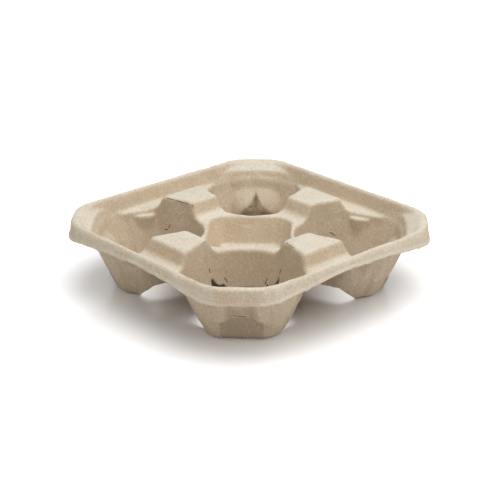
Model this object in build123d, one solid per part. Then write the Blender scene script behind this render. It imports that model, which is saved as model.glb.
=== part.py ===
from build123d import *
from math import atan, cos, degrees, hypot, radians, sin, sqrt, tan
import os

# Four-cup carrier, moulded from fibre pulp as one thin sheet.
# Origin at the middle of the tray, on the surface it stands on, Z up.
# The sides of the tray run along X and Y, with a cup pocket near each corner.

# Sheet
wall = 2.0                # thickness of the moulded sheet
reach = 90.0              # how far forms that the walls cut off run outward
overlap = 4.0             # how far forms run on inside the ones that they join

# Heights above the surface that the carrier stands on
rim_top = 53.7            # crest of the rolled rim
block_top = 53.0          # flat top of the block between two pockets
land_top = 50.0           # shelf inside each corner of the rim
deck_top = 41.5           # trough behind each block, and the ridges round the basin
basin_floor = 21.0        # floor of the basin in the middle

# Tray walls
draft_height = 17.0       # height at which the outside width of the walls is given
side_half = 88.4          # centre to the outside of a side wall, at draft_height
side_slope = 0.43         # outward travel of a side wall for each millimetre of height
leg_radius = 41.0         # outside radius of a leg, at draft_height
foot_round = 6.0          # rounding under the legs
trough_round = 4.5        # rounding between the trough and the side wall

# Rolled rim
lip_half = 107.2          # centre to the outside of the lip, halfway along a side
lip_corner = 131.0        # centre to the outside of the lip, at a corner
lip_edge_side = 46.4      # height of the lip's lower edge, halfway along a side
lip_edge_corner = 41.2    # height of the lip's lower edge, at a corner
lip_slope = 0.22
lip_corner_round = 27.0
lip_top_round = 3.6
crest_width = 3.4         # level stretch between the inner wall and the lip's outer face
bead = 0.8                # how far the pressed bead stands out along the lip's lower edge
bead_height = 1.7
land_slope = 0.9          # slope from the land up to the crest at the corners

# Cup pockets
cup_floor_radius = 27.5   # inside of a pocket where the cup's base sits
cup_slope = 0.1415        # taper of the cup side
hole_radius = 23.5        # opening in the pocket's floor

# Blocks between the pockets
block_inner = 51.6        # centre to the inner edge of the flat top
block_outer = 76.5        # centre to the outer edge of the flat top
block_inner_slope = 0.53
block_outer_slope = 0.445
face_lean = 0.255         # a block's faces touch the cups beside it and widen outward
block_round = 3.0

# Basin
basin_half = 22.0         # half the width of the floor, square to the diagonals
basin_slope = 0.317
basin_corner_round = 6.0  # at the floor, growing upward with the slope of the sides
basin_round = 4.5         # inside, between the floor and the sides
ridge_round = 2.5         # top edge of the ridges round the basin, sharp underneath

# Pilaster that presses on the cup from the corner of the tray
pilaster_half = 11.0
pilaster_round = 8.0
pilaster_edge_round = 3.0
pilaster_front = 40.0     # the rib's front edges lie within this reach of the cup's axis

# Relief slits in each pocket, as angles from its outward diagonal: of the apex and of the foot
slits_front = [(-127, -152), (127, 152)]
slits_right = [(-127, -152), (98, 72)]
slits_back = [(-127, -152), (127, 152)]
slits_left = [(-90, -64), (127, 152)]
cup_slit_top = 31.0       # apex of a slit in the cup's side
leg_slit_top = 25.0       # apex of a slit in the leg's wall
slit_reach = 25.0         # depth of the cuts, outward from the hole's edge
notch_top = 30.0          # apex of the notch in the pilaster
notch_foot = 20.0         # height at which the notch has its full width
notch_width = 7.6         # the front pocket has no notch: its pilaster is pressed shut
tongue_edge = 13.0        # height of the torn edge of the walls that face the centre
tongue_run = 14.0         # how far outward of the cup's axis that edge meets the floor
tongue_rise = 14.0        # its run from there to its full height
notch_depth = 13.5        # outward from the hole's edge

# Arched panel at the outward foot of each leg
arch_top = 19.0
arch_shoulder = 13.0
arch_crown = 6.5          # half the width of the arch's level top
arch_half = 14.0
arch_step = 2.0           # how far the panel stands outside the pilaster's face
arch_lift = 1.2           # gap under the panel, between the two toes
arch_round = 2.5

# Values that follow from the sizes above
side_angle = degrees(atan(side_slope))
side_shift = 1 / cos(radians(side_angle))
pocket_axis = side_half - leg_radius
axis_diagonal = pocket_axis * sqrt(2)
cup_angle = degrees(atan(cup_slope))
cup_shift = 1 / cos(radians(cup_angle))
touch_angle = 135 - degrees(atan(face_lean))   # where a block's face meets the cup's side
high = rim_top + 8.0      # above everything, for forms that are cut to height


def level(z):
    return Plane.XY.offset(z)


def side_at(z, grow):
    """Centre to the side wall at height z, for the cavity grown outward by grow."""
    return side_half + side_slope * (z - draft_height) + (grow - wall) * side_shift


def cup_radius(z, grow):
    return cup_floor_radius + cup_slope * z + grow * cup_shift


def spun(shape):
    """The same form at all four sides or corners."""
    return [shape.rotate(Axis.Z, 90 * turn) for turn in range(4)]


def pyramid(half, slope, bottom, top, turn=0):
    """Square frustum: half is half its width at the bottom, and it widens by slope."""
    base = level(bottom) * Rectangle(2 * half, 2 * half)
    solid = extrude(base, top - bottom, taper=-degrees(atan(slope)))
    return solid.rotate(Axis.Z, turn)


def flat_sided(outline, bottom, top):
    """Solid between the outlines at two heights, which have the same corners, with flat sides."""
    low = [(x, y, bottom) for x, y in outline(bottom)]
    up = [(x, y, top) for x, y in outline(top)]
    corners = range(len(low))
    faces = [Face(Wire.make_polygon([low[i - 1], low[i], up[i], up[i - 1]])) for i in corners]
    faces += [Face(Wire.make_polygon(low)), Face(Wire.make_polygon(up))]
    return Solid(Shell(faces))


def slanted_edges(shape):
    """Edges that run up the form, where two of its sides meet."""
    return [e for e in shape.edges() if abs((e @ 1 - e @ 0).Z) > 1]


def funnel(grow):
    """Space inside the side walls, with conical corners about the pocket axes."""
    bottom = wall - grow
    half = side_at(bottom, grow)
    base = level(bottom) * RectangleRounded(2 * half, 2 * half, half - pocket_axis)
    solid = extrude(base, high - bottom, taper=-side_angle)
    foot = solid.faces().sort_by(Axis.Z)[0].edges()
    return fillet(foot, foot_round - wall + grow)


def corner_land(grow):
    """Space above the shelf at the corners, cut square across each corner."""
    bottom = land_top - grow
    half = side_at(bottom, grow)
    crest_corner = lip_corner - lip_slope * (rim_top - lip_edge_corner) - crest_width
    corner = crest_corner - land_slope * (rim_top - bottom) + grow * sqrt(1 + land_slope**2)
    sides = pyramid(half, side_slope, bottom, high)
    chamfers = pyramid(corner, land_slope, bottom, high, 45)
    solid = sides & chamfers
    return fillet(slanted_edges(solid), lip_corner_round - crest_width + grow)


def face_half(r, z, grow):
    """Half the width of a block, r from the centre and z up, between two cup sides."""
    offset = cup_radius(z, grow) / cos(atan(face_lean))
    return pocket_axis - offset - face_lean * (pocket_axis - r)


def block(grow):
    """Tapered block between two pockets, made smaller all round by grow, its underside sharp."""
    bottom = deck_top - wall - overlap
    top = block_top - grow

    def outline(z):
        rise = block_top - z
        inner = block_inner - block_inner_slope * rise + grow * sqrt(1 + block_inner_slope**2)
        outer = block_outer + block_outer_slope * rise - grow * sqrt(1 + block_outer_slope**2)
        near = face_half(inner, z, grow)
        far = face_half(outer, z, grow)
        return [(inner, -near), (outer, -far), (outer, far), (inner, near)]

    solid = flat_sided(outline, bottom, top)
    if grow:
        return fillet(slanted_edges(solid), block_round - grow)
    return fillet(slanted_edges(solid) + solid.faces().sort_by(Axis.Z)[-1].edges(), block_round)


def cup_space(grow):
    """Space for one cup, about the axis of the pocket that lies on the X axis."""
    bottom = wall - grow
    height = deck_top + overlap - bottom
    solid = Cone(cup_radius(bottom, grow), cup_radius(bottom + height, grow), height,
                 align=(Align.CENTER, Align.CENTER, Align.MIN))
    return Pos(axis_diagonal, 0, bottom) * solid


def leg_space(grow):
    """Space between the two block faces, from where they touch the cup out to the rim."""
    touch = radians(touch_angle)

    def outline(z):
        radius = cup_radius(z, grow)
        near_x = axis_diagonal + radius * cos(touch)
        near_y = radius * sin(touch)
        far_x = near_x + reach * sin(touch)
        far_y = near_y - reach * cos(touch)
        return [(near_x, -near_y), (far_x, -far_y), (far_x, far_y), (near_x, near_y)]

    return flat_sided(outline, wall - grow, deck_top + overlap)


def rib(profile, face_shift):
    """Profile, drawn across the corner, run outward from the cup's side."""
    slab = extrude(Plane.YZ.offset(axis_diagonal) * profile, reach)

    def outline(z):
        near = axis_diagonal + cup_radius(z, 0) + face_shift
        far = near + reach
        return [(near, -reach), (far, -reach), (far, reach), (near, reach)]

    return slab & flat_sided(outline, -1.0, high)


def pilaster(grow):
    """Rib at the corner that leans on the cup, smaller all round by grow."""
    bottom = arch_top + grow
    top = land_top - grow
    half = pilaster_half - grow
    lean = grow * cup_shift + axis_diagonal
    profile = Pos(0, (top + bottom) / 2) * Rectangle(2 * half, top - bottom)
    solid = rib(profile, grow * cup_shift)
    front = [e for e in slanted_edges(solid) if e.center().X < axis_diagonal + pilaster_front]
    solid = fillet(front, pilaster_edge_round - grow / 2)
    brow = (lean + cup_radius(top, 0), top)
    side = [brow, (lean + cup_radius(0, 0), 0), (lean + reach, 0), (lean + reach, top)]
    outline = make_face(Polyline(*side, close=True))
    corner = outline.vertices().sort_by_distance((*brow, 0))[0]
    outline = fillet([corner], pilaster_round - grow)
    return solid & extrude(Plane.XZ * outline, half, both=True)


def arch(grow):
    """Wider rib under the pilaster, with an arched top, smaller all round by grow."""
    spare = wall - grow
    half = arch_half + spare
    crown = arch_crown + spare
    top = arch_top + spare
    shoulder = arch_shoulder + spare
    points = [(-half, -1), (half, -1), (half, shoulder), (crown, top),
              (-crown, top), (-half, shoulder)]
    outline = make_face(Polyline(*points, close=True))
    outline = fillet([v for v in outline.vertices() if v.Y > 0], arch_round)
    return rib(outline, arch_step + grow * cup_shift)


def basin(grow):
    """Square pit in the middle, set diagonally, with corners that round out upward."""
    bottom = basin_floor - grow
    half = basin_half - basin_slope * grow + grow * sqrt(1 + basin_slope**2)
    base = level(bottom) * RectangleRounded(2 * half, 2 * half, basin_corner_round + grow)
    solid = extrude(base, deck_top + overlap - bottom, taper=-degrees(atan(basin_slope)))
    if not grow:
        solid = fillet(solid.faces().sort_by(Axis.Z)[0].edges(), basin_round)
    return solid.rotate(Axis.Z, 45)


def cavity(grow):
    """Everything above the sheet's upper side, grown outward by grow."""
    deck = deck_top - grow
    whole = funnel(grow)
    tray = split(whole, level(deck), keep=Keep.TOP)
    tray = fillet(tray.faces().sort_by(Axis.Z)[0].edges(), trough_round + grow)
    tray += corner_land(grow) + basin(grow)
    if not grow:
        brim = [e for e in tray.edges().filter_by_position(Axis.Z, deck - 0.01, deck + 0.01)
                if hypot((e @ 0.5).X, (e @ 0.5).Y) < pocket_axis]
        tray = fillet(brim, ridge_round)
    tray -= spun(block(grow))
    for leg, cup in zip(spun(leg_space(grow)), spun(cup_space(grow))):
        tray += (whole & leg.rotate(Axis.Z, 45)) + cup.rotate(Axis.Z, 45)
    ribs = spun(pilaster(grow)) + spun(arch(grow))
    return tray - [piece.rotate(Axis.Z, 45) for piece in ribs]


def lip_form(inset):
    """Solid under the lip's outer face, smaller all round by inset and then sharp at the top."""
    bottom = lip_edge_corner - 1.0
    top = rim_top - inset
    shift = inset * sqrt(1 + lip_slope**2)
    half = lip_half + lip_slope * (lip_edge_side - bottom) - shift
    corner = lip_corner + lip_slope * (lip_edge_corner - bottom) - shift
    solid = pyramid(half, -lip_slope, bottom, top) & pyramid(corner, -lip_slope, bottom, top, 45)
    solid = fillet(slanted_edges(solid), lip_corner_round - inset)
    if inset > 0:
        return solid
    crest = solid.faces().sort_by(Axis.Z)[-1].edges()
    return fillet(crest, lip_top_round - inset)


def slab_below(z):
    width = 2 * lip_corner
    return level(z) * Box(width, width, z, align=(Align.CENTER, Align.CENTER, Align.MAX))


def under_lip(lift):
    """Space under the lip's lower edge: level at the corners, arched along each side."""
    low = lip_edge_corner + lift
    span = side_at(low, wall) - lip_corner_round
    arc = ThreePointArc((-span, low), (0, lip_edge_side + lift), (span, low))
    profile = make_face(arc + Line((span, low), (-span, low)))
    vault = extrude(Plane.XZ * profile, lip_corner, both=True)
    return slab_below(low) + vault + vault.rotate(Axis.Z, 90)


def rim():
    """Rolled lip outside the crest, with a pressed bead along its lower edge."""
    inside = lip_form(wall)
    bead_band = (lip_form(-bead) - inside) & under_lip(bead_height)
    return (lip_form(0) - inside) + bead_band - under_lip(0)


def slit(apex, foot):
    """Wedge that opens a wall of the pocket, from its apex down to the torn edge."""
    top = cup_slit_top
    radius = cup_radius(tongue_edge, 0)
    if abs(apex) < touch_angle:
        top = leg_slit_top
        radius = side_at(tongue_edge, 0) - pocket_axis
    half = radius * tan(radians(foot - apex) / 2)
    points = [(-half, foot_round), (half, foot_round), (half, tongue_edge - 1), (-half, top)]
    profile = make_face(Polyline(*points, close=True))
    wedge = extrude(Plane.YZ.offset(hole_radius) * profile, slit_reach)
    return Pos(axis_diagonal, 0) * wedge.rotate(Axis.Z, (apex + foot) / 2)


def openings(slits, notched):
    """Hole in a pocket's floor, the torn edge round its inner half, slits and notch."""
    hole = Pos(axis_diagonal, 0) * Cylinder(hole_radius, 2 * foot_round)
    half = 2 * hole_radius
    points = [(-half, -1), (tongue_run, -1), (tongue_run - tongue_rise, tongue_edge),
              (-half, tongue_edge)]
    edge = make_face(Polyline(*points, close=True))
    torn = Pos(axis_diagonal, 0) * extrude(Plane.XZ * edge, half, both=True)
    cuts = [hole, torn] + [slit(apex, foot) for apex, foot in slits]
    toes = Pos(axis_diagonal + half / 2 + hole_radius / 2, 0) * Box(half, 2 * arch_half, 2 * arch_lift)
    cuts.append(toes)
    if notched:
        width = notch_width / 2
        points = [(-width, -1), (width, -1), (width, notch_foot), (0, notch_top),
                  (-width, notch_foot)]
        profile = make_face(Polyline(*points, close=True))
        start = Plane.YZ.offset(axis_diagonal + hole_radius - notch_width)
        cuts.append(extrude(start * profile, notch_width + notch_depth))
    return cuts


def cup_carrier():
    """The whole sheet: the cavity's skin, with the rim round it and the pockets opened."""
    outer = cavity(wall) & (lip_form(0) + slab_below(lip_edge_corner))
    sheet = outer + rim() - cavity(0)
    pockets = [(slits_front, False), (slits_right, True), (slits_back, True), (slits_left, True)]
    for turn, (slits, notched) in zip((-45, 45, 135, 225), pockets):
        sheet -= [cut.rotate(Axis.Z, turn) for cut in openings(slits, notched)]
    return sheet


if __name__ == "__main__":
    os.makedirs("parts", exist_ok=True)
    export_step(cup_carrier(), "parts/cup_carrier.step")
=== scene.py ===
import bpy
import numpy as np
from mathutils import Matrix, Vector


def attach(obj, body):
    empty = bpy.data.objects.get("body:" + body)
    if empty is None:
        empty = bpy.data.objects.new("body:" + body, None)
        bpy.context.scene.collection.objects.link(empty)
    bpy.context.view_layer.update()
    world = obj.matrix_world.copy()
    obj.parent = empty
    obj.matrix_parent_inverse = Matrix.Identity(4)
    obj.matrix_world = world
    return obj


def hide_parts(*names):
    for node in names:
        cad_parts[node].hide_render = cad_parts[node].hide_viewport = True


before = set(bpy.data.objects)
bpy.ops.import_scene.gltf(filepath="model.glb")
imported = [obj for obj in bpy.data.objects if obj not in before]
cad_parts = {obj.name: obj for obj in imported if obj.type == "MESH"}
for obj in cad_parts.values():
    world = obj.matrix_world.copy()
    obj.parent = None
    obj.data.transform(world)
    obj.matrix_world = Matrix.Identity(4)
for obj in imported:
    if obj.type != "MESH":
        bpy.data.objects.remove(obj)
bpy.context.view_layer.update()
print("frame loaded")

mm = 0.001  # the forms below are worked out in millimetres
farOutside = -9  # a depth that stands for none of a form

# The moulded sheet: heights above the floor, distances from the middle, and slopes as outward
# travel per millimetre of height. A cup's axis stands at pocketAxis along both X and Y.
form = {
    "cells": 228,  # along each side of the grid, a multiple of 4
    "rimRows": 8,  # rows of cells that stay on the lip, a multiple of 4
    "passes": (260, 90, 40),  # of relaxing, with a quarter, a half and all of the cells
    "pullShare": 0.6, "evenness": 1.5, "lastPasses": 6, "lastEvenness": 0.5,
    "thickness": 2.0, "rimTop": 53.7, "blockTop": 53.7, "deckTop": 41.5,
    "gaugeHeight": 17.0,  # where wallHalf, legCone and legRadius are measured
    "wallHalf": 86.22, "wallSlope": 0.43,  # inside of the side walls
    "pocketAxis": 47.4, "cupRadius": 27.5, "cupSlope": 0.1415,
    "legCone": 36.3, "legSlope": 0.46,  # inside of a leg, wider by legOutward toward the corner
    "legOutward": 9.0, "legOutwardFrom": 0.55, "legOutwardTo": 0.85,  # cosines from the diagonal
    "legRadius": 41.0, "legSide": 2.5, "legSideFrom": 12, "legSpan": 29,  # outside of a leg
    "legBend": 0.12, "legBendTop": 7, "legInner": 18, "legTop": 42, "legEnd": 46,
    "channelHalf": 8.4, "channelEdge": 0.7,  # channel in the middle of a leg's outside
    "basinFloor": 21.0, "basinHalf": 22.2, "basinSlope": 0.44, "basinCorner": 4.5,
    "blockInner": 51.6, "blockInnerSlope": 0.53, "blockOuter": 77.2, "blockOuterSlope": 0.445,
    "faceLean": 0.255, "touch": -0.51,  # a block's side faces, and where they meet the cup's side
    "shoulder": 85.0, "shoulderBend": 10.0, "shoulderFrom": 19, "shoulderSpan": 27, "shelfDrop": 0.5,
    "shelfStart": 12,
    "stepDepth": 5.0, "stepDrop": 3.8, "stepFrom": 20, "stepSpan": 19,
    "bulge": 16.6, "bulgeFrom": 17, "bulgeTo": 50,  # how far a pilaster's top lies outward
    "bulgeBend": 0.03, "bulgeFlat": 9,  # bend of its flanks, beside a flat middle
    "archHalf": 15.5, "archTop": 20.0, "archDrop": 6.5, "archStep": 5.5, "archFlank": 2.5,
    "notchHalf": 4.4, "notchFoot": 18.5, "notchTop": 31.0,
    "landTop": 48.4, "landTilt": 0.5, "landInner": 49.5, "landStart": 38.0,  # from the cup's axis
    "crestCorner": 124.85, "chamferSlope": 0.9,
    "lipHalf": 107.2, "lipCorner": 132.0, "lipSlope": 0.22, "cornerSlope": 0.06, "lipRound": 27.0,
    "edgeSide": 46.4, "edgeCorner": 42.0, "edgeSpan": 72.0,  # heights of the lip's lower edge
    "rimAt": [0, 1, 2, 3, 4, 8], "rimRise": [0, 0.5, 1.1, 1.8, 2.3, 4.4],  # rows above that edge
    "bead": 1.0, "beadTop": 2.0, "beadFull": 1.2,
    # Lengths along the sloping faces for each millimetre across them.
    "cupSlant": 1.01, "basinSlant": 1.093, "blockInnerSlant": 1.132, "blockOuterSlant": 1.095,
    "faceSlant": 1.042, "legSlant": 1.1, "pilasterSlant": 1.05, "lipSlant": 1.024,
    # Radii of the rounded edges and corners.
    "floorRound": 4, "troughRound": 3.5, "basinRound": 4.5, "ridgeRound": 3.5,
    "blockTopRound": 2.1, "blockFootRound": 4, "cupFootRound": 3, "cupEdgeRound": 2.5,
    "legCornerRound": 12, "legFaceRound": 3, "pocketEdgeRound": 2.2,
    "shelfRound": 1.5, "stepRound": 2, "shelfJoinRound": 1, "shelfEdgeRound": 1.5, "archRound": 2,
    "pilasterFootRound": 1.5, "pilasterTopRound": 11.5, "pilasterFrom": 31, "pilasterTo": 43,
    "landCornerRound": 22, "landEdgeRound": 1.5, "lipTopRound": 3.6, "crestRound": 2.6,
    # The hole under a cup, and the torn edge round its inner half.
    "holeRadius": 23.5, "holeTop": 9, "tornHeight": 13.0, "tornRun": 14.0, "tornRound": 4,
    # A slit is its pocket's place, then the angles from the pocket's outward diagonal of its apex and
    # of its foot, and the radius of the wall it opens. Its upper edge falls from the apex along
    # slitLine, at the shares of its width in slitShare.
    "slits": [("front", -126.5, -151, 29.5), ("front", 128.5, 152, 29.5), ("right", -127, -151, 29.5),
              ("back", -127, -151, 29.5), ("back", 127, 151, 29.5), ("left", 127, 151, 29.5)],
    "slitShare": [0, 0.25, 0.5, 0.84, 0.93, 1], "slitLine": [28.6, 22.3, 17.0, 16.8, 18.6, 12.0],
    # The tear at the foot of the right leg, on its far side: middle and half size.
    "tearAlong": 18, "tearHeight": 4, "tearWide": 12.2, "tearHigh": 9.6, "tearFrom": 70,
    # How far from a cut's line points are drawn onto it, how far they move each time, and how far
    # inside it they may lie and stay.
    "snapFrom": 0.7, "snapReach": 0.5, "borderReach": 0.6, "cutSlack": 0.12,
    # Painted light and shade: how level a face is when it takes the lit top colour, the lip's share of
    # it, how deep a recess is when fully painted dark, and how dark the painted shade under an arch is.
    "levelFrom": 0.5, "levelFull": 0.92, "lipTone": 0.55, "lipToneFrom": 101, "lipToneFull": 105,
    "darkDepth": 2.5, "caveShade": 0.4, "caveFrom": -0.5, "caveFull": 1.5, "recessShadeInner": 20,
    # Unevenness of the pulp, in layers: height, size and seed of each.
    "swell": [(0.4, 23, 1), (0.16, 7, 2), (0.06, 2.6, 3)],
    "depth": [(0.2, 3.1, 4), (0.25, 9, 5)],
    "cutLine": [(0.25, 1.7, 11), (0.25, 5, 12)],
    "lipEdge": [(0.4, 3.5, 21), (0.6, 15, 22)],
}
pockets = {"front": (1, -1), "right": (1, 1), "back": (-1, 1), "left": (-1, -1)}
axisDiagonal = form["pocketAxis"] * 2 ** 0.5


# Space left where both a and b are free: the smaller distance, with the corner between them
# filled to a radius. lean is the cosine of the angle between the two faces' normals.
def cornered(a, b, radius, lean=0.0):
    p = radius - a
    q = radius - b
    inCorner = (p > lean * q) & (q > lean * p)
    reach = np.sqrt(np.maximum(p * p + q * q - 2 * lean * p * q, 0) / (1 - lean * lean))
    return np.where(inCorner, radius - reach, np.minimum(a, b))


# Space free in a or in b, with the edge between them rounded over to a radius.
def joined(a, b, radius, lean=0.0):
    return -cornered(-a, -b, radius, lean)


# Distance from the middle of a square that is pinned at its corner circles' centres.
def squareReach(x, y, pin):
    dx = np.abs(x) - pin
    dy = np.abs(y) - pin
    return pin + np.hypot(np.maximum(dx, 0), np.maximum(dy, 0)) + np.minimum(np.maximum(dx, dy), 0)


# Length along a sloping face for each millimetre of height.
def slant(slope):
    return (1 + slope ** 2) ** 0.5


# Eased step from 0 at low to 1 at high: 3 t squared less 2 t cubed.
def smooth(value, low, high):
    t = np.clip((value - low) / (high - low), 0, 1)
    return t * t * (3 - 2 * t)


# Smooth random numbers in space: seeded values on a lattice of the given size, eased between its
# points.
def lumps(points, size, seed):
    table = np.random.default_rng(seed).uniform(-1, 1, (32, 32, 32))
    place = points / size
    cell = np.floor(place).astype(int)
    t = place - cell
    t = t * t * (3 - 2 * t)
    total = 0
    for corner in np.ndindex(2, 2, 2):
        weight = np.prod(np.where(corner, t, 1 - t), axis=-1)
        i, j, k = np.moveaxis((cell + corner) % 32, -1, 0)
        total = total + weight * table[i, j, k]
    return total


# Sum of layers of lumps.
def unevenness(points, layers):
    return sum(height * lumps(points, size, seed) for height, size, seed in layers)


# What the tray's eight like parts share: the larger and the smaller distance from the middle along X
# or Y, the distance outward from a cup's axis along the diagonal, and the distance across it.
def folded(points):
    ax = np.abs(points[..., 0])
    ay = np.abs(points[..., 1])
    out = (ax + ay) / 2 ** 0.5 - axisDiagonal
    return np.maximum(ax, ay), np.minimum(ax, ay), out, np.abs(ax - ay) / 2 ** 0.5


# Inside of the side walls at a height, as a distance from the middle.
def wallAt(z):
    return form["wallHalf"] + form["wallSlope"] * (z - form["gaugeHeight"])


# Radius of a cup's cone at a height.
def cupRadiusAt(z):
    return form["cupRadius"] + form["cupSlope"] * z


# Space inside the side walls, whose corners are cones about the cups' axes, above the floor.
def insideAir(x, y, z):
    wall = (wallAt(z) - squareReach(x, y, form["pocketAxis"])) / slant(form["wallSlope"])
    return cornered(wall, z - form["thickness"], form["floorRound"], lean=0.4)


# Space in the basin: a pit with flaring sides, square to the diagonals.
def basinAir(x, y, z):
    half = form["basinHalf"] + form["basinSlope"] * (z - form["basinFloor"])
    pin = form["basinHalf"] - form["basinCorner"]
    reach = squareReach((x + y) / 2 ** 0.5, (y - x) / 2 ** 0.5, pin)
    side = (half - reach) / form["basinSlant"]
    return cornered(side, z - form["basinFloor"], form["basinRound"], lean=0.4)


# Depth inside a block: its sloping inner and outer faces and its flat top.
def blockDepth(far, z):
    below = form["blockTop"] - z
    inner = far - form["blockInner"] + form["blockInnerSlope"] * below
    outer = form["blockOuter"] + form["blockOuterSlope"] * below - far
    inner = cornered(inner / form["blockInnerSlant"], below, form["blockTopRound"], lean=0.47)
    return cornered(inner, outer / form["blockOuterSlant"], form["blockTopRound"], lean=0.4)


# Depth inside the shelf beside a block: it lies further out away from the block, and a lower step
# stands before it along a half wave.
def shoulderDepth(far, near, z):
    bend = np.maximum((near - form["shoulderFrom"]) / form["shoulderSpan"], 0) ** 1.2
    shoulder = form["shoulder"] + form["shoulderBend"] * bend
    wave = np.sin(np.pi * np.clip((near - form["stepFrom"]) / form["stepSpan"], 0, 1)) ** 0.7
    step = form["stepDepth"] * wave
    shelf = cornered(far - shoulder, form["deckTop"] - form["shelfDrop"] - z, form["shelfRound"])
    lower = cornered(far - shoulder + step, form["deckTop"] - form["stepDrop"] - z, form["stepRound"])
    return np.where(near > form["shelfStart"], joined(shelf, lower, form["shelfJoinRound"]), farOutside)


# Space in a pocket: the cup's cone, joined with the leg's hollow outside it. The hollow ends at the
# walls, at a cone about the cup's axis, at the blocks' side faces and where those touch the cup.
def pocketAir(inside, far, near, out, across, z):
    radius = cupRadiusAt(z)
    reach = np.maximum(np.hypot(out, across), 1e-6)
    cup = (radius - reach) / form["cupSlant"]
    cup = cornered(cup, z - form["thickness"], form["cupFootRound"])
    cone = form["legCone"] + form["legSlope"] * (z - form["gaugeHeight"])
    cone = cone + form["legOutward"] * smooth(out / reach, form["legOutwardFrom"], form["legOutwardTo"])
    leg = cornered(inside, (cone - reach) / form["legSlant"], form["legCornerRound"], lean=0.9)
    lean = form["faceLean"]
    face = near - form["pocketAxis"] + radius * slant(lean) + lean * (form["pocketAxis"] - far)
    leg = cornered(leg, face / form["faceSlant"], form["legFaceRound"])
    leg = np.minimum(leg, out - form["touch"] * radius)
    pocket = joined(cup, leg, form["cupEdgeRound"])
    return cornered(pocket, -shoulderDepth(far, near, z), form["shelfEdgeRound"])


# Height of the arch's line under a pilaster, which falls from the middle as a parabola.
def archLine(across):
    return form["archTop"] - form["archDrop"] * np.clip(across / form["archHalf"], 0, 1) ** 2


# How far a point lies inside the arch under a pilaster or the notch above it, which narrows in a
# straight line. The front pocket has neither.
def archRecess(points):
    x, y, z = points[..., 0], points[..., 1], points[..., 2]
    across = folded(points)[3]
    arch = cornered(form["archHalf"] - across, archLine(across) - z, form["archRound"])
    share = (form["notchTop"] - z) / (form["notchTop"] - form["notchFoot"])
    recess = np.maximum(arch, form["notchHalf"] * np.minimum(share, 1) - across)
    return np.where((x > 0) & (y < 0), farOutside, recess)


# Depth inside the pilaster in a corner: its face bulges away from the cup with height and toward its
# flanks, and steps back inside the arch and the notch.
def pilasterDepth(points, out, across):
    z = points[..., 2]
    bulge = form["bulge"] * smooth(z, form["bulgeFrom"], form["bulgeTo"])
    bulge = bulge + form["bulgeBend"] * np.maximum(across - form["bulgeFlat"], 0) ** 2
    panel = (out - cupRadiusAt(z) - bulge) / form["pilasterSlant"]
    recessed = np.maximum(-archRecess(points) * form["archFlank"], panel - form["archStep"])
    return np.where(out > 8, np.minimum(panel, recessed), farOutside)


# Space above the shelf in a corner, which slopes up to the crest, inside the walls and a chamfer.
def landAir(far, out, z):
    chamfer = form["crestCorner"] - form["chamferSlope"] * (form["rimTop"] - z) - out - axisDiagonal
    wall = (wallAt(z) - far) / slant(form["wallSlope"])
    land = cornered(wall, chamfer / slant(form["chamferSlope"]), form["landCornerRound"], lean=0.7)
    rise = z - form["landTop"] - form["landTilt"] * (out - form["landInner"])
    return np.minimum(cornered(land, rise, form["landEdgeRound"], lean=0.4), out - form["landStart"])


# Depth inside the lip's outer faces and its top.
def lipDepth(far, out, z):
    side = form["lipHalf"] + form["lipSlope"] * (form["edgeSide"] - z) - far
    corner = form["lipCorner"] + form["cornerSlope"] * (form["edgeCorner"] - z) - out - axisDiagonal
    lip = cornered(side / form["lipSlant"], corner / form["lipSlant"], form["lipRound"], lean=0.7)
    return cornered(lip, form["rimTop"] - z, form["lipTopRound"], lean=0.2)


# Distance to the sheet's upper face, positive in the air above it.
def airAbove(points):
    x, y, z = points[..., 0], points[..., 1], points[..., 2]
    far, near, out, across = folded(points)
    inside = insideAir(x, y, z)
    tray = cornered(inside, z - form["deckTop"], form["troughRound"], lean=0.4)
    base = joined(tray, basinAir(x, y, z), form["ridgeRound"], lean=0.4)
    base = cornered(base, -blockDepth(far, z), form["blockFootRound"])
    air = joined(base, pocketAir(inside, far, near, out, across, z), form["pocketEdgeRound"])
    flank = smooth(z, form["pilasterFrom"], form["pilasterTo"])
    flank = form["pilasterFootRound"] + (form["pilasterTopRound"] - form["pilasterFootRound"]) * flank
    air = cornered(air, -pilasterDepth(points, out, across), flank)
    air = joined(air, landAir(far, out, z), form["landEdgeRound"], lean=0.3)
    return joined(air, -lipDepth(far, out, z), form["crestRound"])


# Unit normal of the sheet's upper face: the distance's change over a short step along each axis.
def airSlope(points, value):
    step = 0.02
    slope = np.stack([(airAbove(points + offset) - value) / step for offset in np.eye(3) * step], -1)
    return slope / np.maximum(np.linalg.norm(slope, axis=-1, keepdims=True), 1e-9)


# Height of the lip's lower edge: level at the corners and arched along each side.
def edgeHeight(along):
    arch = np.maximum(1 - (along / form["edgeSpan"]) ** 2, 0)
    return form["edgeCorner"] + (form["edgeSide"] - form["edgeCorner"]) * arch ** 1.2


# A point on the lip's outline at a height: along each eighth of the way round, a straight side, then
# an arc of 45 degrees, then half of the corner's chamfer. share runs from 0 at mid-side to 1.
def lipOutline(share, height, grow):
    side = form["lipHalf"] + form["lipSlope"] * (form["edgeSide"] - height) + grow
    corner = form["lipCorner"] + form["cornerSlope"] * (form["edgeCorner"] - height) + grow
    radius = form["lipRound"]
    tangent = radius * np.tan(np.pi / 8)
    meet = corner * 2 ** 0.5 - side
    straight = meet - tangent
    arc = radius * np.pi / 4
    chamfer = (side - meet) / 2 ** 0.5 - tangent
    run = share * (straight + arc + chamfer)
    turn = np.clip(run - straight, 0, arc) / radius
    rest = np.maximum(run - straight - arc, 0)
    x = side - radius * (1 - np.cos(turn)) - rest / 2 ** 0.5
    y = np.minimum(run, straight) + radius * np.sin(turn) + rest / 2 ** 0.5
    return x, y


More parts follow.
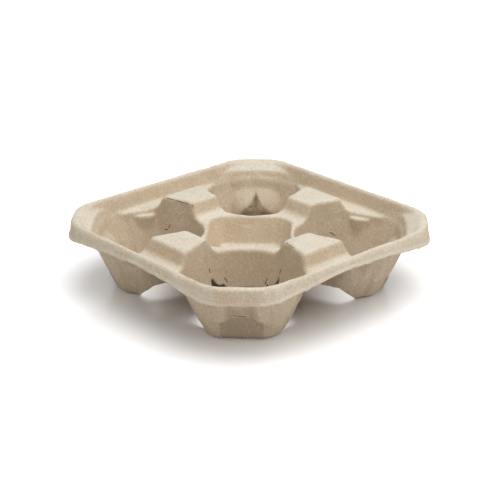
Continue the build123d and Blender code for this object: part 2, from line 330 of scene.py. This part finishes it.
# The lip's flank on the outermost rows of the grid: square rings of the grid become the lip's
# outline, each at its own height above the ragged lower edge, with the pressed bead on the lowest.
def lipFlank(a, b, rise, grow):
    ring = np.maximum(np.abs(a), np.abs(b))
    share = np.minimum(np.abs(a), np.abs(b)) / np.maximum(ring, 1e-9)
    height = edgeHeight(share * 97.9)  # a first guess, from about half the length of a side
    for _ in range(3):
        x, y = lipOutline(share, height + rise, grow)
        height = edgeHeight(y)
    flip = np.abs(b) > np.abs(a)
    px = np.where(flip, y, x) * np.sign(a)
    py = np.where(flip, x, y) * np.sign(b)
    ragged = unevenness(np.stack([px, py, 0 * px], -1), form["lipEdge"])
    ragged = ragged * np.maximum(1 - rise / form["rimRise"][-1], 0)
    return np.stack([px, py, height + rise + ragged], -1)


# Slides the free points along the sheet until the cells are of like size, and keeps them on its
# face: each is pulled toward its four neighbours, harder by the longer edges, then dropped back.
def relax(points, free, passes, evenness):
    grown = points.copy()
    slope = airSlope(grown, airAbove(grown))
    for _ in range(passes):
        pull = np.zeros_like(grown)
        weight = np.zeros(grown.shape[:2])
        for axis in (0, 1):
            edge = np.diff(grown, axis=axis)
            length = np.linalg.norm(edge, axis=-1) ** evenness
            force = edge * length[..., None]
            lead = [slice(None)] * 2
            lead[axis] = slice(0, -1)
            trail = [slice(None)] * 2
            trail[axis] = slice(1, None)
            pull[tuple(lead)] += force
            pull[tuple(trail)] -= force
            weight[tuple(lead)] += length
            weight[tuple(trail)] += length
        move = form["pullShare"] * pull / np.maximum(weight, 1e-9)[..., None]
        move -= slope * np.sum(move * slope, -1, keepdims=True)
        grown += move * free[..., None]
        for _ in range(2):
            value = airAbove(grown)
            slope = airSlope(grown, value)
            grown -= slope * (np.clip(value, -2, 2) * free)[..., None]
    return grown


# The grid with twice as many cells along each side: a new point is the mean of the two beside it.
def finer(points):
    rows = np.empty((2 * len(points) - 1,) + points.shape[1:])
    rows[::2] = points
    rows[1::2] = (points[1:] + points[:-1]) / 2
    cells = np.empty((len(rows), 2 * points.shape[1] - 1, 3))
    cells[:, ::2] = rows
    cells[:, 1::2] = (rows[:, 1:] + rows[:, :-1]) / 2
    return cells


# Height of each row of the lip above its lower edge, and how far the bead stands out there.
def rimProfile(rowsIn):
    rise = np.interp(rowsIn, form["rimAt"], form["rimRise"])
    return rise, form["bead"] * smooth(rise, form["beadTop"], form["beadFull"])


# Points of the sheet's upper face, with the lip's flank on the outermost rows: a coarse grid is
# dropped onto the face and relaxed, then made finer and relaxed twice more.
def sheetGrid():
    cells = form["cells"] // 4
    scale = 4
    points = None
    for passes in form["passes"]:
        steps = np.linspace(-1, 1, cells + 1)
        a, b = np.meshgrid(steps, steps, indexing="ij")
        ring = np.maximum(np.abs(a), np.abs(b))
        rowsIn = np.rint((1 - ring) * cells / 2) * scale
        rise, grow = rimProfile(rowsIn)
        free = rowsIn > form["rimRows"] + 0.5
        flank = lipFlank(a, b, rise, grow)
        if points is None:
            inner = ring / (1 - 2 * form["rimRows"] / form["cells"])
            points = flank * np.stack([inner, inner, np.ones_like(ring)], -1)
            points[..., 2] = 60  # above the tray, from where the points fall
            for _ in range(80):
                points[..., 2] -= np.clip(airAbove(points), -4, 4) * 0.8
        else:
            points = finer(points)
        points = np.where(free[..., None], points, flank)
        points = relax(points, free, passes, form["evenness"])
        print("grid of", cells, "cells relaxed")
        cells *= 2
        scale //= 2
    return points


# Distance to one slit, negative inside it: below its line, between its two angles and near its wall.
def slitDistance(x, y, z, pocket, apex, foot, radius):
    signX, signY = pockets[pocket]
    dx = x - signX * form["pocketAxis"]
    dy = y - signY * form["pocketAxis"]
    turn = np.arctan2(dy, dx) - np.arctan2(signY, signX) - np.radians(apex)
    turn = (turn + np.pi) % (2 * np.pi) - np.pi
    share = turn / np.radians(foot - apex)
    width = radius * np.radians(abs(foot - apex))
    line = np.interp(share, form["slitShare"], form["slitLine"])
    away = np.maximum(np.hypot(dx, dy) - radius * 1.25, (share - 1) * width)
    return np.maximum(np.maximum(-share * width, (z - line) * 0.8), away)


# Distance to the nearest cut, positive where the sheet stays: the hole under a cup, the torn edge
# round its inner half, the slits beside the blocks and the tear in the right leg.
def keptSheet(points):
    x, y, z = points[..., 0], points[..., 1], points[..., 2]
    far, near, out, across = folded(points)
    kept = np.maximum(np.hypot(out, across) - form["holeRadius"], z - form["holeTop"])
    run = (z + out - form["tornRun"]) / 2 ** 0.5
    kept = np.minimum(kept, joined(z - form["tornHeight"], run, form["tornRound"], lean=0.7))
    for pocket, apex, foot, radius in form["slits"]:
        kept = np.minimum(kept, slitDistance(x, y, z, pocket, apex, foot, radius))
    tearX = (near - form["tearAlong"]) / form["tearWide"]
    tearZ = (z - form["tearHeight"]) / form["tearHigh"]
    tear = (np.hypot(tearX, tearZ) - 1) * 10
    tear = np.where((np.minimum(x, y) > 0) & (far > form["tearFrom"]) & (y > x), tear, 9)
    return np.minimum(kept, tear) + unevenness(points, form["cutLine"])


# Moves the chosen points along the sheet's face onto the line of the nearest cut, by the cut's
# distance along its own slope and no further than reach each time.
def onCut(points, chosen, reach):
    moved = points.copy()
    step = 0.05
    for _ in range(4):
        value = airAbove(moved)
        normal = airSlope(moved, value)
        kept = keptSheet(moved)
        slope = np.stack([(keptSheet(moved + offset) - kept) / step for offset in np.eye(3) * step], -1)
        slope -= normal * np.sum(slope * normal, -1, keepdims=True)
        size = np.maximum(np.sum(slope * slope, -1), 0.2)
        shift = -slope * (kept / size)[..., None] - normal * np.clip(value, -1, 1)[..., None]
        length = np.linalg.norm(shift, axis=-1, keepdims=True)
        shift *= np.minimum(1, reach / np.maximum(length, 1e-9))
        moved += shift * chosen[..., None]
    return moved


# Faces of the grid that stay: four-sided where all four corners do, three-sided where three do.
def keptFaces(stays):
    count = stays.shape[0]
    index = np.arange(count * count).reshape(count, count)
    quads = np.stack([index[:-1, :-1], index[1:, :-1], index[1:, 1:], index[:-1, 1:]], -1)
    quads = quads.reshape(-1, 4)
    corners = stays.ravel()[quads]
    whole = quads[np.all(corners, axis=1)]
    part = np.sum(corners, axis=1) == 3
    order = (np.argmin(corners[part], axis=1)[:, None] + [1, 2, 3]) % 4
    return whole, np.take_along_axis(quads[part], order, axis=1)


# Edges that only one face has, in that face's direction.
def borderEdges(whole, part, total):
    edges = [whole[:, [k, (k + 1) % 4]] for k in range(4)]
    edges = np.concatenate(edges + [part[:, [k, (k + 1) % 3]] for k in range(3)])
    key = np.sort(edges, 1)
    _, first, uses = np.unique(key[:, 0] * total + key[:, 1], return_index=True, return_counts=True)
    return edges[first[uses == 1]]


# Fills the sheet out to the leg's cone beside the channel behind each pilaster: a point moves away
# from the cup's axis to the cone's radius, which is less near the foot and toward the leg's sides.
def filledLegs(points):
    x, y, z = points[..., 0], points[..., 1], points[..., 2]
    dx = np.abs(x) - form["pocketAxis"]
    dy = np.abs(y) - form["pocketAxis"]
    across = np.abs(dx - dy) / 2 ** 0.5
    out = (dx + dy) / 2 ** 0.5
    reach = np.hypot(dx, dy)
    cone = form["legRadius"] + form["wallSlope"] * (z - form["gaugeHeight"])
    cone = cone - form["legBend"] * np.maximum(form["legBendTop"] - z, 0) ** 2
    cone = cone - form["legSide"] * smooth(across, form["legSideFrom"], form["legSpan"])
    low, high = form["channelHalf"] - form["channelEdge"], form["channelHalf"] + form["channelEdge"]
    share = smooth(across, low, high) * smooth(z, form["legEnd"], form["legTop"])
    share = share * (across < form["legSpan"]) * (out > form["legInner"])
    share = share * smooth(z - archLine(across), -0.8, 0.8)
    grow = 1 + share * np.maximum(cone / np.maximum(reach, 1e-6) - 1, 0)
    filled = points.copy()
    filled[..., 0] = np.sign(x) * (form["pocketAxis"] + dx * grow)
    filled[..., 1] = np.sign(y) * (form["pocketAxis"] + dy * grow)
    filled[..., 2] = np.maximum(z, 0)
    return filled


# How the points are painted with light and shade: tone, the share of the lit top colour, is 1 on
# level faces and lower on the lip; the painted shade is 1 inside an arch or notch and less behind it.
def shading(points, normal):
    far, _, out, across = folded(points)
    # Painted light: faces that look up take the paler lit top colour, and the lip a share of it.
    litShare = smooth(normal[..., 2], form["levelFrom"], form["levelFull"])
    lip = form["lipTone"] * smooth(far, form["lipToneFrom"], form["lipToneFull"])
    tone = np.maximum(litShare, lip).ravel()
    outer = out > form["recessShadeInner"]
    # Painted shade: dark inside an arch or notch on the upper face, and on the underside below the
    # arch's line.
    deep = smooth(archRecess(points), 0, form["darkDepth"]) * outer
    cave = smooth(archLine(across) - points[..., 2], form["caveFrom"], form["caveFull"])
    cave = form["caveShade"] * cave * (across < form["archHalf"]) * outer
    return np.concatenate([tone, 0 * tone]), np.concatenate([deep.ravel(), cave.ravel()])


# Stores a value at each point of the mesh, which the shader reads by its name.
def pointValues(mesh, name, values):
    layer = mesh.attributes.new(name, "FLOAT", "POINT")
    layer.data.foreach_set("value", values.astype(np.float32))


# The tray's mesh: the upper face, the underside at a thickness below it along the normal, and a
# strip of faces between the two along the border.
def buildSheet():
    points = sheetGrid()
    inner = np.zeros(points.shape[:2], bool)
    rows = form["rimRows"]
    inner[rows:-rows, rows:-rows] = True
    near = inner & (np.abs(keptSheet(points)) < form["snapFrom"])
    points = onCut(points, near, form["snapReach"])
    stays = (keptSheet(points) > -form["cutSlack"]) | ~inner
    whole, part = keptFaces(stays)
    total = stays.size
    border = borderEdges(whole, part, total)
    torn = np.zeros(total, bool)
    torn[border.ravel()] = True
    rimmed = torn.reshape(stays.shape) & inner
    points = onCut(points, rimmed, form["borderReach"])
    points = relax(points, inner & ~rimmed & stays, form["lastPasses"], form["lastEvenness"])
    print("cuts made")
    normal = airSlope(points, airAbove(points))
    points += normal * (unevenness(points, form["swell"]) * inner)[..., None]
    depth = form["thickness"] + unevenness(points, form["depth"])
    under = filledLegs(points - normal * depth[..., None])
    sides = np.stack([border[:, 1], border[:, 0], border[:, 0] + total, border[:, 1] + total], -1)
    quads = np.concatenate([whole, whole[:, ::-1] + total, sides])
    triangles = np.concatenate([part, part[:, ::-1] + total])
    everything = np.concatenate([points.reshape(-1, 3), under.reshape(-1, 3)]) * mm
    used = np.unique(np.concatenate([quads.ravel(), triangles.ravel()]))
    place = np.zeros(2 * total, int)
    place[used] = np.arange(len(used))
    mesh = bpy.data.meshes.new("pulpTray")
    mesh.from_pydata(everything[used].tolist(), [], place[quads].tolist() + place[triangles].tolist())
    mesh.polygons.foreach_set("use_smooth", np.ones(len(mesh.polygons), bool))
    tone, recessShade = shading(points, normal)
    pointValues(mesh, "outside", used >= total)
    # Painted light on level faces, and painted shade in the recesses.
    pointValues(mesh, "tone", tone[used])
    pointValues(mesh, "recessShade", recessShade[used])
    pointValues(mesh, "edge", np.tile(torn, 2)[used])
    tray = bpy.data.objects.new("pulpTray", mesh)
    bpy.context.scene.collection.objects.link(tray)
    print("sheet built,", len(quads) * 2 + len(triangles), "triangles")
    return tray


# Wraps a socket of a shader tree, so that sums and products of values become Math nodes.
class Wire:
    # A tree, and one of its nodes' outputs or none.
    def __init__(self, tree, socket=None):
        self.tree = tree
        self.socket = socket

    # A node of a kind: its settings first, then the values or links of its sockets.
    def add(self, kind, settings, sockets, output=0):
        node = self.tree.nodes.new(kind)
        for name, value in settings.items():
            setattr(node, name, value)
        for name, value in sockets.items():
            if isinstance(value, Wire):
                self.tree.links.new(value.socket, node.inputs[name])
            else:
                node.inputs[name].default_value = value
        return Wire(self.tree, node.outputs[output])

    # A Math node of two values.
    def maths(self, operation, a, b):
        return self.add("ShaderNodeMath", {"operation": operation}, {0: a, 1: b})

    def __add__(self, other):
        return self.maths("ADD", self, other)

    def __sub__(self, other):
        return self.maths("SUBTRACT", self, other)

    def __rsub__(self, other):
        return self.maths("SUBTRACT", other, self)

    def __mul__(self, other):
        return self.maths("MULTIPLY", self, other)

    __radd__ = __add__
    __rmul__ = __mul__

    # Vector Math of two vectors, or of a vector and a number on the socket of that name.
    def vector(self, operation, a, other, name=1, output=0):
        return self.add("ShaderNodeVectorMath", {"operation": operation}, {0: a, name: other}, output)

    # A value that the mesh stores at its points.
    def stored(self, name):
        return self.add("ShaderNodeAttribute", {"attribute_name": name}, {}, "Fac")

    # Eased step of this value, from 0 at low to 1 at high.
    def above(self, low, high):
        return self.add("ShaderNodeMapRange", {"interpolation_type": "SMOOTHSTEP"},
                        {"Value": self, "From Min": low, "From Max": high})

    # The first colour where this value is 0, the second where it is 1.
    def mixed(self, first, second):
        return self.add("ShaderNodeMix", {"data_type": "RGBA"}, {0: self, 6: first, 7: second}, 2)


# Distance from a point to a line between two ends, in metres: the point less its nearest place on
# the line, which lies at the share (point - first) . (last - first) / |last - first| ** 2, kept
# to 0..1.
def alongLine(where, first, last):
    start = Vector(first) * mm
    span = Vector(last) * mm - start
    gap = where.vector("SUBTRACT", where, start)
    share = where.vector("DOT_PRODUCT", gap, span / span.length_squared, output="Value")
    share = where.add("ShaderNodeClamp", {}, {"Value": share})
    back = where.vector("SCALE", span, share, name="Scale")
    return where.vector("DISTANCE", gap, back, output="Value")


# The pulp's finish: sizes of its patterns in millimetres, and colours, some of them painted light
# and shade, as linear values.
pulpLook = {
    # Painted light and shade: the first colour is the pulp shaded on steep faces, the second the pulp
    # lit on level faces.
    "wall": (0.555, 0.443, 0.315, 1), "top": (0.635, 0.575, 0.47, 1),
    # The underside's own colour, then painted shade for arches, notches and the underside under an
    # arch.
    "outside": (0.56, 0.45, 0.32, 1), "recessShade": (0.30, 0.22, 0.15, 1),
    "pale": (0.80, 0.75, 0.66, 1), "paleShare": 0.6, "tornShare": 0.35,
    "dark": (0.42, 0.32, 0.21, 1), "darkShare": 0.7,
    "fleck": (0.26, 0.18, 0.11, 1), "fleckSize": 1.4, "creaseShade": (0.16, 0.11, 0.07, 1),
    "grain": 0.9, "fibre": 2.2, "mottle": 16.0, "wrinkle": 6.0, "wrinkleHeight": 5.0,
    "relief": 0.45, "roughness": 0.88, "shine": 0.15,
    # Creases and cracks of this tray, drawn as dark lines of painted shade: both ends and half the
    # width of each, in millimetres.
    "creases": [
        ((-73.8, -18.4, 52.1), (-64.0, -15.5, 51.6), 0.45),
        ((-64.0, -15.5, 51.6), (-50.4, -11.9, 50.5), 0.6),
        ((54.5, -12.9, 52.4), (63.1, -15.3, 51.9), 0.55),
        ((13.1, -55.6, 51.8), (12.7, -52.5, 52.3), 0.4),
        ((19.5, 66.0, 28.1), (20.3, 68.0, 27.0), 0.6),
        ((20.3, 68.0, 27.0), (21.1, 69.9, 24.9), 0.6),
        ((-73.4, -21.6, 27.0), (-70.9, -21.0, 27.5), 0.6),
        ((-69.1, -19.9, 31.9), (-70.0, -20.5, 29.0), 0.5),
        ((15.7, -52.6, 31.6), (16.0, -51.9, 28.4), 0.6),
        ((51.6, -15.9, 31.9), (50.5, -16.2, 28.4), 0.6),
        ((17.7, -39.8, 21.4), (18.7, -38.0, 18.0), 0.6),
        ((39.4, -18.2, 21.2), (38.3, -19.1, 17.1), 0.6),
        ((66.8, -74.1, 19.9), (71.9, -68.6, 19.2), 0.6),
    ],
}


# Speckled pulp: three sizes of noise are summed, their highs mixed toward pale and their lows toward
# dark, over a base colour with painted light and shade that the stored values choose. The same
# noise makes the bump.
def pulpMaterial():
    material = bpy.data.materials.new("pulp")
    material.use_nodes = True
    tree = material.node_tree
    shader = tree.nodes["Principled BSDF"]
    start = Wire(tree)
    where = start.add("ShaderNodeTexCoord", {}, {}, "Object")

    # Noise of a size in millimetres, moved along X by the seed.
    def cloud(size, detail, seed, place=where):
        shifted = start.vector("ADD", place, (seed, 0, 0))
        return start.add("ShaderNodeTexNoise", {}, {"Vector": shifted, "Scale": 1000 / size,
                                                    "Detail": detail, "Roughness": 0.6}, "Fac")

    outside = start.stored("outside")
    grain = cloud(pulpLook["grain"], 2, 0.0)
    fibre = cloud(pulpLook["fibre"], 3, 0.3)
    mottle = cloud(pulpLook["mottle"], 3, 0.6)
    upright = start.add("ShaderNodeMapping", {}, {"Vector": where, "Scale": (1.0, 1.0, 0.35)})
    wrinkle = cloud(pulpLook["wrinkle"], 3, 0.9, upright)
    tone = grain * 0.45 + fibre * 0.35 + mottle * 0.2
    # Painted light and shade: level faces lit and pale, steep faces shaded, darker and more saturated.
    colour = start.stored("tone").mixed(pulpLook["wall"], pulpLook["top"])
    colour = outside.mixed(colour, pulpLook["outside"])
    # Painted shade in the arches and notches, and on the underside under an arch.
    colour = start.stored("recessShade").mixed(colour, pulpLook["recessShade"])
    colour = (tone.above(0.50, 0.70) * pulpLook["paleShare"]).mixed(colour, pulpLook["pale"])
    colour = (tone.above(0.50, 0.33) * pulpLook["darkShare"]).mixed(colour, pulpLook["dark"])
    fleck = cloud(pulpLook["fleckSize"], 1, 1.7).above(0.74, 0.82)
    colour = fleck.mixed(colour, pulpLook["fleck"])
    colour = (start.stored("edge") * pulpLook["tornShare"]).mixed(colour, pulpLook["pale"])
    # Painted shade along each crease and crack.
    for first, last, width in pulpLook["creases"]:
        line = alongLine(where, first, last).above(width * mm, width * 0.35 * mm)
        colour = line.mixed(colour, pulpLook["creaseShade"])
    tree.links.new(colour.socket, shader.inputs["Base Color"])
    relief = grain * 0.5 + fibre * 0.9 + outside * wrinkle * pulpLook["wrinkleHeight"]
    bump = start.add("ShaderNodeBump", {}, {"Height": relief, "Strength": 1.0,
                                            "Distance": pulpLook["relief"] * mm})
    tree.links.new(bump.socket, shader.inputs["Normal"])
    shader.inputs["Roughness"].default_value = pulpLook["roughness"]
    shader.inputs["Specular IOR Level"].default_value = pulpLook["shine"]
    return material


tray = buildSheet()
tray.data.materials.append(pulpMaterial())
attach(tray, "root")
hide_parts("cup_carrier")


# Camera at the photograph's angle: azimuth, elevation and roll in degrees, the rest in metres, with
# the lens in millimetres.
view = {"azimuth": 48.031, "elevation": 22.917, "roll": -0.244, "distance": 0.9995,
        "shiftRight": 0.00077, "shiftUp": -0.0245, "lens": 97.26, "aimHeight": 0.053}


# The camera stands back from a point above the middle by the distance, at the azimuth and the
# elevation, shifted in the picture's own plane, and looks straight ahead.
def placeCamera():
    turn, lift, roll = (np.radians(view[name]) for name in ("azimuth", "elevation", "roll"))
    back = Vector((np.sin(turn) * np.cos(lift), -np.cos(turn) * np.cos(lift), np.sin(lift)))
    right = Vector((np.cos(turn), np.sin(turn), 0))
    up = back.cross(right)
    right, up = right * np.cos(roll) + up * np.sin(roll), up * np.cos(roll) - right * np.sin(roll)
    lensData = bpy.data.cameras.new("camera")
    lensData.lens = view["lens"]
    lensData.sensor_width = 36
    camera = bpy.data.objects.new("camera", lensData)
    bpy.context.scene.collection.objects.link(camera)
    camera.matrix_world = Matrix((right, up, back)).transposed().to_4x4()
    camera.location = (back * view["distance"] + right * view["shiftRight"] + up * view["shiftUp"]
                       + Vector((0, 0, view["aimHeight"])))
    bpy.context.scene.camera = camera


placeCamera()


# Studio: a pale floor with a painted shadow under the tray and a painted glow that runs it to white
# away from it, a white background and four soft lamps, each with its place, target, size and power.
# Lengths are in metres.
studio = {
    "floorSize": 8.0, "floorColour": (0.92, 0.92, 0.925, 1), "floorShade": (0.30, 0.28, 0.265, 1),
    "shadeFull": 0.045, "shadeEnd": 0.088, "floorRoughness": 0.2,
    "floorGlow": 0.5, "glowStart": 0.075, "glowFull": 0.2, "world": 0.24,
    "lamps": [("overhead", (0.15, 0.1, 1.25), (0, 0, 0), 1.3, 15.8),
              ("right", (0.85, 0.6, 0.6), (0, 0, 0.03), 0.9, 3.2),
              ("left", (-0.45, -0.9, 0.6), (0, 0, 0.03), 0.9, 1.2),
              ("front", (0.85, -0.8, 0.7), (0, 0, 0.03), 0.8, 2.2)],
}


# A square lamp at a place, turned toward its target.
def areaLamp(name, place, target, size, power):
    lampData = bpy.data.lights.new(name, "AREA")
    lampData.size = size
    lampData.energy = power
    lamp = bpy.data.objects.new(name, lampData)
    lamp.location = place
    lamp.rotation_euler = (Vector(target) - Vector(place)).to_track_quat("-Z", "Y").to_euler()
    bpy.context.scene.collection.objects.link(lamp)


# The floor's colour darkens toward the middle as a painted shadow under the tray, and a painted glow
# that only the camera sees brightens it further out.
def buildFloor():
    half = studio["floorSize"] / 2
    corners = [(-half, -half, 0), (half, -half, 0), (half, half, 0), (-half, half, 0)]
    mesh = bpy.data.meshes.new("floor")
    mesh.from_pydata(corners, [], [(0, 1, 2, 3)])
    floor = bpy.data.objects.new("floor", mesh)
    bpy.context.scene.collection.objects.link(floor)
    paint = bpy.data.materials.new("floor")
    paint.use_nodes = True
    shader = paint.node_tree.nodes["Principled BSDF"]
    shader.inputs["Roughness"].default_value = studio["floorRoughness"]
    start = Wire(paint.node_tree)
    seen = start.add("ShaderNodeLightPath", {}, {}, "Is Camera Ray")
    where = start.add("ShaderNodeTexCoord", {}, {}, "Object")
    away = start.add("ShaderNodeVectorMath", {"operation": "LENGTH"}, {0: where}, "Value")
    # Painted light: a glow for camera rays only, growing with the distance from the middle.
    glow = seen * away.above(studio["glowStart"], studio["glowFull"]) * studio["floorGlow"]
    glow = glow.mixed((0, 0, 0, 1), (1, 1, 1, 1))
    # Painted shadow: the floor's colour darkens toward the middle, under the tray.
    shade = 1 - away.above(studio["shadeFull"], studio["shadeEnd"])
    shade = shade.mixed(studio["floorColour"], studio["floorShade"])
    paint.node_tree.links.new(shade.socket, shader.inputs["Base Color"])
    paint.node_tree.links.new(glow.socket, shader.inputs["Emission Color"])
    shader.inputs["Emission Strength"].default_value = 1.0
    floor.data.materials.append(paint)


# The world lights softly, and is pure white where the camera or a reflection sees it.
def buildWorld():
    world = bpy.data.worlds.new("studio")
    bpy.context.scene.world = world
    world.use_nodes = True
    soft = world.node_tree.nodes["Background"]
    soft.inputs["Color"].default_value = (1, 1, 1, 1)
    soft.inputs["Strength"].default_value = studio["world"]
    start = Wire(world.node_tree)
    seen = start.add("ShaderNodeLightPath", {}, {}, "Is Camera Ray")
    glossy = start.add("ShaderNodeLightPath", {}, {}, "Is Glossy Ray")
    white = start.add("ShaderNodeBackground", {}, {"Color": (1, 1, 1, 1), "Strength": 1.0})
    lit = Wire(start.tree, soft.outputs[0])
    both = start.add("ShaderNodeMixShader", {}, {0: seen + glossy, 1: lit, 2: white})
    start.tree.links.new(both.socket, start.tree.nodes["World Output"].inputs["Surface"])


buildFloor()
for lamp in studio["lamps"]:
    areaLamp(*lamp)
buildWorld()
bpy.context.scene.view_settings.view_transform = "Standard"
print("studio and camera placed")
